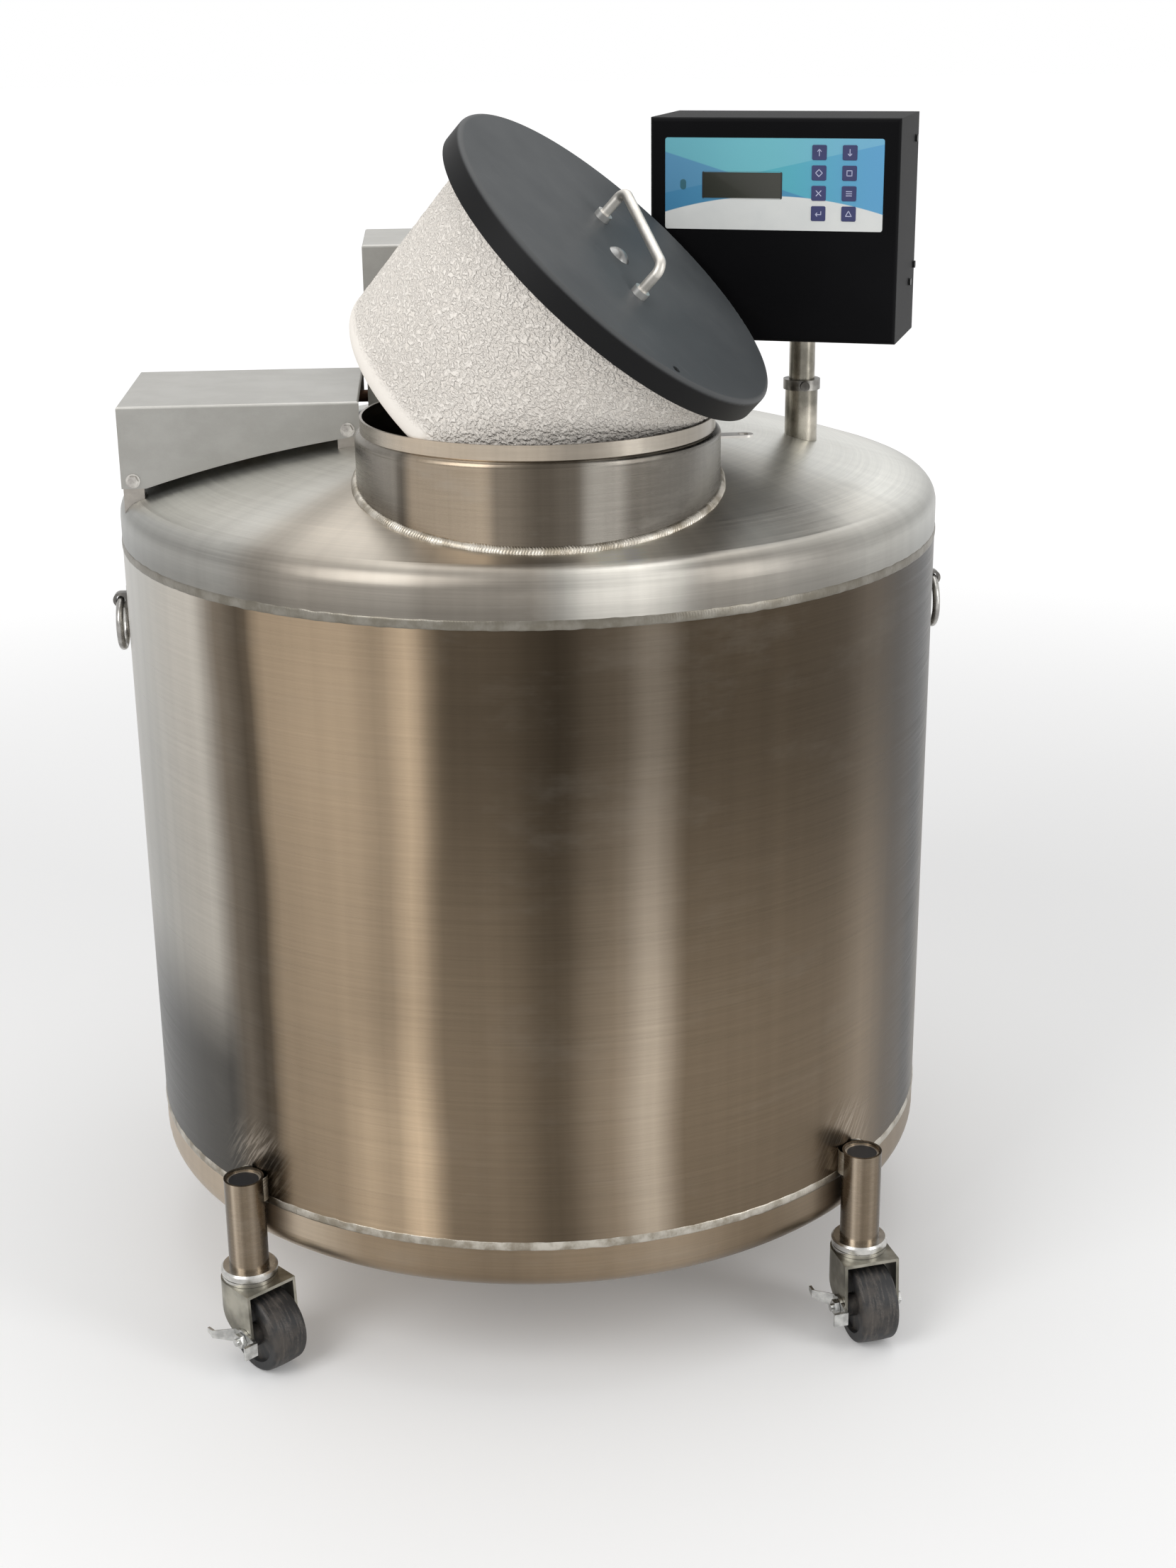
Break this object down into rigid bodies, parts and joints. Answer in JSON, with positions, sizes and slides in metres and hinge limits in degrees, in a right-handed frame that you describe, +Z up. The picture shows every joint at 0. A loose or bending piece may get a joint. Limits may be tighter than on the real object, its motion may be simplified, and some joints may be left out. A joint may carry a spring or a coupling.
{
  "type": "liquid nitrogen freezer",
  "caption": "Round double-walled stainless cryogenic storage vessel on casters, with an offset neck, tilted foam plug lid, carousel, plumbing covers and a post-mounted controller.",
  "frame": {"origin": "on the vessel's vertical axis at floor level", "axes": "+Z up, -Y the front where the neck and lid are, +X the right as seen from the front"},
  "size_m": [1.1128, 1.0688, 1.5367],
  "materials": {
    "brushed_steel": "brushed, with soft vertical bands",
    "weld_steel": "rippled weld bead",
    "bright_steel": "bright, lightly polished",
    "foil": "crinkled foil wrap",
    "support_laminate": "glass-cloth laminate",
    "tray_aluminium": "mill finish",
    "cover_sheet": "silver-grey sheet, satin",
    "lid_slate": "fine textured slate grey",
    "plug_foam": "cast foam with orange-peel skin",
    "dark_steel": "dull stainless bar",
    "box_paint": "matt black, fine texture",
    "box_back": "matt black, fine texture",
    "overlay_film": "printed membrane, satin",
    "display": "display window",
    "black_screw": "black oxide",
    "board": "laminate board",
    "brass": "machined",
    "copper": "drawn tube",
    "leg_steel": "brushed, heat-tinted near the welds",
    "black_cap": "moulded plug",
    "zinc": "yellow-tinged zinc plate",
    "race_steel": "bright turned steel",
    "axle_steel": "bright zinc",
    "zinc_lever": "bright zinc plate",
    "wheel_rubber": "worn dark grey tread"
  },
  "bodies": {
    "vessel": {"outer_shell": "brushed_steel", "top_head": "brushed_steel", "bottom_head": "brushed_steel", "neck_collar": "brushed_steel", "inner_vessel": "brushed_steel", "post_socket": "brushed_steel", "weld_beads": "weld_steel", "leg_welds": "weld_steel", "lid_handle": "bright_steel", "neck_tube": "bright_steel", "post_clamp": "bright_steel", "cover_screws": "bright_steel", "lid_bolt": "bright_steel", "handle_collars": "bright_steel", "lock_tab": "bright_steel", "insulation_wrap": "foil", "inner_support": "support_laminate", "carousel_stand": "tray_aluminium", "plumbing_cover": "cover_sheet", "riser_cover": "cover_sheet", "cover_brackets": "cover_sheet", "lid_cover": "lid_slate", "lid_plug": "plug_foam", "lift_brackets": "dark_steel", "fill_valves": "brass", "inlet_fitting": "brass", "fill_pipe": "copper", "leg_front_left": "leg_steel", "leg_front_right": "leg_steel", "leg_back_left": "leg_steel", "leg_back_right": "leg_steel", "leg_caps": "black_cap", "caster_race_front_left": "race_steel", "caster_race_front_right": "race_steel", "caster_race_back_left": "race_steel", "caster_race_back_right": "race_steel"},
    "swivel_front_left": {"caster_fork_front_left": "zinc", "caster_axle_front_left": "axle_steel"},
    "wheel_front_left": {"caster_wheel_front_left": "wheel_rubber"},
    "brake_front_left": {"brake_lever_front_left": "zinc_lever"},
    "swivel_front_right": {"caster_fork_front_right": "zinc", "caster_axle_front_right": "axle_steel"},
    "wheel_front_right": {"caster_wheel_front_right": "wheel_rubber"},
    "brake_front_right": {"brake_lever_front_right": "zinc_lever"},
    "swivel_back_left": {"caster_fork_back_left": "zinc", "caster_axle_back_left": "axle_steel"},
    "wheel_back_left": {"caster_wheel_back_left": "wheel_rubber"},
    "swivel_back_right": {"caster_fork_back_right": "zinc", "caster_axle_back_right": "axle_steel"},
    "wheel_back_right": {"caster_wheel_back_right": "wheel_rubber"},
    "control_head": {"post_tube": "brushed_steel", "control_box": "box_paint", "control_back": "box_back", "control_overlay": "overlay_film", "display_window": "display", "control_screws": "black_screw", "circuit_board": "board"},
    "ring_left": {"lift_ring_left": "dark_steel"},
    "ring_right": {"lift_ring_right": "dark_steel"},
    "carousel": {"carousel_tray": "tray_aluminium"}
  },
  "joints": [
    {"name": "caster_swivel_front_left", "type": "hinge", "parent": "vessel", "child": "swivel_front_left", "pos_m": [-0.39598, -0.39598, 0.11], "axis": [0, 0, 1], "continuous": true},
    {"name": "wheel_spin_front_left", "type": "hinge", "parent": "swivel_front_left", "child": "wheel_front_left", "pos_m": [-0.37412, -0.42202, 0.0508], "axis": [0.766, 0.6428, 0], "continuous": true},
    {"name": "brake_press_front_left", "type": "hinge", "parent": "swivel_front_left", "child": "brake_front_left", "pos_m": [-0.37412, -0.42202, 0.0508], "axis": [-0.766, -0.6428, 0], "range_deg": [0, 14]},
    {"name": "caster_swivel_front_right", "type": "hinge", "parent": "vessel", "child": "swivel_front_right", "pos_m": [0.39598, -0.39598, 0.11], "axis": [0, 0, 1], "continuous": true},
    {"name": "wheel_spin_front_right", "type": "hinge", "parent": "swivel_front_right", "child": "wheel_front_right", "pos_m": [0.40305, -0.42924, 0.0508], "axis": [0.9781, 0.2079, 0], "continuous": true},
    {"name": "brake_press_front_right", "type": "hinge", "parent": "swivel_front_right", "child": "brake_front_right", "pos_m": [0.40305, -0.42924, 0.0508], "axis": [-0.9781, -0.2079, 0], "range_deg": [0, 14]},
    {"name": "caster_swivel_back_left", "type": "hinge", "parent": "vessel", "child": "swivel_back_left", "pos_m": [-0.39598, 0.39598, 0.11], "axis": [0, 0, 1], "continuous": true},
    {"name": "wheel_spin_back_left", "type": "hinge", "parent": "swivel_back_left", "child": "wheel_back_left", "pos_m": [-0.38002, 0.36596, 0.0508], "axis": [0.8829, 0.4695, 0], "continuous": true},
    {"name": "caster_swivel_back_right", "type": "hinge", "parent": "vessel", "child": "swivel_back_right", "pos_m": [0.39598, 0.39598, 0.11], "axis": [0, 0, 1], "continuous": true},
    {"name": "wheel_spin_back_right", "type": "hinge", "parent": "swivel_back_right", "child": "wheel_back_right", "pos_m": [0.40761, 0.36403, 0.0508], "axis": [0.9397, 0.342, 0], "continuous": true},
    {"name": "control_swivel", "type": "hinge", "parent": "vessel", "child": "control_head", "pos_m": [0.356, -0.033, 1.17699], "axis": [0, 0, 1], "range_deg": [-90, 0]},
    {"name": "lift_ring_swing_left", "type": "hinge", "parent": "vessel", "child": "ring_left", "pos_m": [-0.5464, 0, 0.911], "axis": [0, 1, 0], "range_deg": [0, 150]},
    {"name": "lift_ring_swing_right", "type": "hinge", "parent": "vessel", "child": "ring_right", "pos_m": [0.5464, 0, 0.911], "axis": [0, -1, 0], "range_deg": [0, 150]},
    {"name": "carousel_turn", "type": "hinge", "parent": "vessel", "child": "carousel", "pos_m": [0, 0, 0.3003], "axis": [0, 0, 1], "continuous": true}
  ]
}
